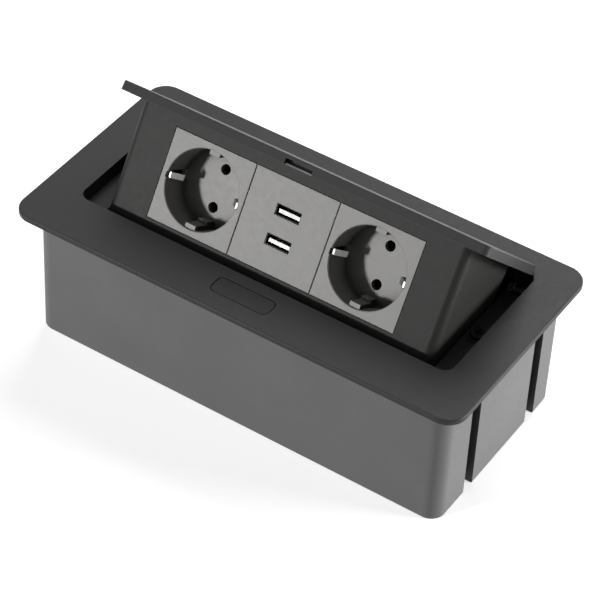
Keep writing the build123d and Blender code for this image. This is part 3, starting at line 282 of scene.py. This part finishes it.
# a node that isn't named here is zinc plated steel
nodesOfFinish = {
    "flangePlastic": ("top_frame",),
    "lidPlastic": ("lid_plate",),
    "carrierPlastic": ("carrier_shell", "carrier_back"),
    "buttonPlastic": ("push_button",),
    "boxPlastic": ("housing_box",),
    "modulePlastic": ("socket_cover_left", "socket_cover_right", "usb_face"),
    "innerPlastic": (
        "socket_base_left", "socket_base_right", "usb_case", "module_frame", "terminal_block", "cord_clamp",
        "latch_bracket", "latch_slider", "damper_barrel", "damper_rotor",
    ),
    "tonguePlastic": ("usb_tongue_upper", "usb_tongue_lower"),
    "grommetRubber": ("cable_grommet",),
    "boardLacquer": ("usb_board",),
    "springMetal": ("earth_strap_left", "earth_strap_right"),
    "screwBlack": ("frame_screws",),
    "contactBrass": ("live_busbar", "neutral_busbar", "earth_busbar", "usb_transformer_winding"),
    "shellSteel": ("usb_shell_upper", "usb_shell_lower"),
    "paintedShadeContact": ("pin_contacts_left", "pin_contacts_right", "usb_contacts"),
    "strikeSteel": ("strike_plate",),
    "canAluminium": ("usb_capacitors",),
}
finishOfNode = {node: finish for finish, names in nodesOfFinish.items() for node in names}
finishes = {name: plastic(name, finish) for name, finish in plasticFinishes.items()}
finishes.update({name: metal(name, finish) for name, finish in metalFinishes.items()})
for name, node in nodes.items():
    material = finishes[finishOfNode.get(name, "zincSteel")]
    if not node.material_slots:
        node.data.materials.append(material)
    for materialSlot in node.material_slots:
        materialSlot.material = material
print("stage: finishes on", len(nodes), "nodes")


springs = {
    "button_springs": {"joint": "button_press", "axis": (0, 0, 1)},
    "latch_spring": {"joint": "latch_slide", "axis": (0, 1, 0)},
}
torsion = {"node": "torsion_spring", "wire": 0.0008}
mergeReach = 0.000001


# a spring of the frame can't change its length, so a copy of its own mesh is made, its doubles merged and
# the frame's spring hidden
def copyCoils(name):
    bpy.ops.object.select_all(action="DESELECT")
    bpy.ops.mesh.primitive_plane_add(location=(0, 0, 0))
    coils = bpy.context.object
    coils.name = name + "_coils"
    plane = coils.data
    coils.data = nodes[name].data.copy()
    bpy.data.meshes.remove(plane)
    bpy.ops.object.mode_set(mode="EDIT")
    bpy.ops.mesh.select_all(action="SELECT")
    bpy.ops.mesh.remove_doubles(threshold=mergeReach)
    bpy.ops.object.mode_set(mode="OBJECT")
    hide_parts(name)
    return coils


# a copy of the spring, attached to the base with a mesh of its own
def makeSpring(name):
    coils = copyCoils(name)
    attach(coils, "base")
    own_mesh(coils)


# a copy of the torsion spring, with its place baked into its mesh
def makeTorsionSpring():
    coils = copyCoils(torsion["node"])
    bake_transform(coils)


for name, spring in springs.items():
    makeSpring(name)
makeTorsionSpring()
bpy.ops.object.select_all(action="DESELECT")
print("stage: springs made")


white = (1.0, 1.0, 1.0)
floor = {
    "size": 4.0, "colour": (0.93, 0.93, 0.93), "dull": (0.07, 0.07, 0.07), "rough": 0.9, "specular": 0.1,
    "glow": 0.62, "whiteFrom": 0.5, "whiteTo": 1.1,
}


# 1 for what the camera sees itself, in a reflection or through glass, and 0 for light on the object
def showWhite(tree, place):
    rays = addNode(tree, "ShaderNodeLightPath", place)
    first = addNode(tree, "ShaderNodeMath", (place[0] + 200, place[1]), operation="MAXIMUM")
    second = addNode(tree, "ShaderNodeMath", (place[0] + 400, place[1]), operation="MAXIMUM")
    tree.links.new(rays.outputs["Is Camera Ray"], first.inputs[0])
    tree.links.new(rays.outputs["Is Glossy Ray"], first.inputs[1])
    tree.links.new(first.outputs[0], second.inputs[0])
    tree.links.new(rays.outputs["Is Transmission Ray"], second.inputs[1])
    return second.outputs[0]


# towards its edge the floor goes white for the camera, out of the shadow's reach
def addFarGlow(tree, glow, place):
    rays = addNode(tree, "ShaderNodeLightPath", place)
    spot = addNode(tree, "ShaderNodeTexCoord", (place[0], place[1] - 400))
    reach = addNode(tree, "ShaderNodeVectorMath", (place[0] + 200, place[1] - 400), operation="LENGTH")
    tree.links.new(spot.outputs["Object"], reach.inputs[0])
    more = remap(tree, reach.outputs["Value"], (place[0] + 400, place[1] - 400),
                 0.0, 1.0 - floor["glow"], floor["whiteFrom"], floor["whiteTo"])
    seen = addNode(tree, "ShaderNodeMath", (place[0] + 600, place[1]), operation="MULTIPLY_ADD")
    tree.links.new(rays.outputs["Is Camera Ray"], seen.inputs[0])
    tree.links.new(more, seen.inputs[1])
    tree.links.new(glow, seen.inputs[2])
    return seen.outputs[0]


def makeFloor():
    bpy.ops.mesh.primitive_plane_add(size=floor["size"], location=(0, 0, 0))
    ground = bpy.context.object
    ground.name = "paleFloor"
    material, tree, shader = newMaterial("paleFloor")
    seen = showWhite(tree, (-600, 200))
    base = mixColour(tree, seen, floor["dull"], floor["colour"], (100, 200))
    tree.links.new(base, shader.inputs["Base Color"])
    glow = remap(tree, seen, (100, -200), 0.0, floor["glow"], 0.0, 1.0)
    tree.links.new(addFarGlow(tree, glow, (-600, -400)), shader.inputs["Emission Strength"])
    shader.inputs["Emission Color"].default_value = (*white, 1.0)
    shader.inputs["Roughness"].default_value = floor["rough"]
    shader.inputs["Specular IOR Level"].default_value = floor["specular"]
    ground.data.materials.append(material)


makeFloor()
print("stage: floor laid")


world = {"light": 0.03, "seen": 1.0}


def makeWorld():
    sky = bpy.data.worlds.new("studio")
    bpy.context.scene.world = sky
    sky.use_nodes = True
    tree = sky.node_tree
    tree.nodes.clear()
    plain = addNode(tree, "ShaderNodeBackground", (200, 100))
    plain.inputs["Color"].default_value = (*white, 1.0)
    plain.inputs["Strength"].default_value = world["light"]
    backdrop = addNode(tree, "ShaderNodeBackground", (200, -50))
    backdrop.inputs["Color"].default_value = (*white, 1.0)
    backdrop.inputs["Strength"].default_value = world["seen"]
    mixed = addNode(tree, "ShaderNodeMixShader", (450, 0))
    out = addNode(tree, "ShaderNodeOutputWorld", (650, 0))
    tree.links.new(showWhite(tree, (-450, 0)), mixed.inputs[0])
    tree.links.new(plain.outputs[0], mixed.inputs[1])
    tree.links.new(backdrop.outputs[0], mixed.inputs[2])
    tree.links.new(mixed.outputs[0], out.inputs["Surface"])


makeWorld()


lamps = {
    "keyLamp": {"place": (-0.75, -1.45, 0.52), "aim": (0.0, 0.0, 0.06), "size": 0.14, "power": 19.0},
    "sideLamp": {"place": (1.09, 0.46, 0.17), "aim": (0.1, 0.0, 0.04), "size": 0.35, "power": 17.0},
    "topLamp": {"place": (-0.15, 0.75, 0.95), "aim": (0.0, 0.0, 0.08), "size": 0.7, "power": 7.5},
}


def makeLamp(name, lamp):
    place = Vector(lamp["place"])
    away = (place - Vector(lamp["aim"])).to_track_quat("Z", "Y")
    bpy.ops.object.light_add(type="AREA", location=place, rotation=away.to_euler())
    made = bpy.context.object
    made.name = name
    made.data.shape = "SQUARE"
    made.data.size = lamp["size"]
    made.data.energy = lamp["power"]


for name, lamp in lamps.items():
    makeLamp(name, lamp)
print("stage: studio lit")


# fitted to the photograph: the axes are those of its picture, and the place is in metres
shot = {
    "right": (0.83278, 0.55201, 0.04191),
    "up": (-0.40060, 0.54864, 0.73384),
    "back": (0.38210, -0.62791, 0.67803),
    "place": (0.48543, -0.79357, 0.89626),
    "lens": 162.21, "film": 36.0, "nearest": 0.05, "farthest": 20.0,
}


def makeCamera():
    columns = [Vector(shot[part]) for part in ("right", "up", "back")]
    turn = Matrix(columns).transposed().to_4x4()
    bpy.ops.object.camera_add()
    camera = bpy.context.object
    camera.name = "photoCamera"
    camera.matrix_world = Matrix.Translation(Vector(shot["place"])) @ turn
    camera.data.sensor_width = shot["film"]
    camera.data.lens = shot["lens"]
    camera.data.clip_start = shot["nearest"]
    camera.data.clip_end = shot["farthest"]
    bpy.context.scene.camera = camera


makeCamera()
bpy.context.scene.view_settings.view_transform = "Standard"
bpy.ops.object.select_all(action="DESELECT")
print("stage: camera set")
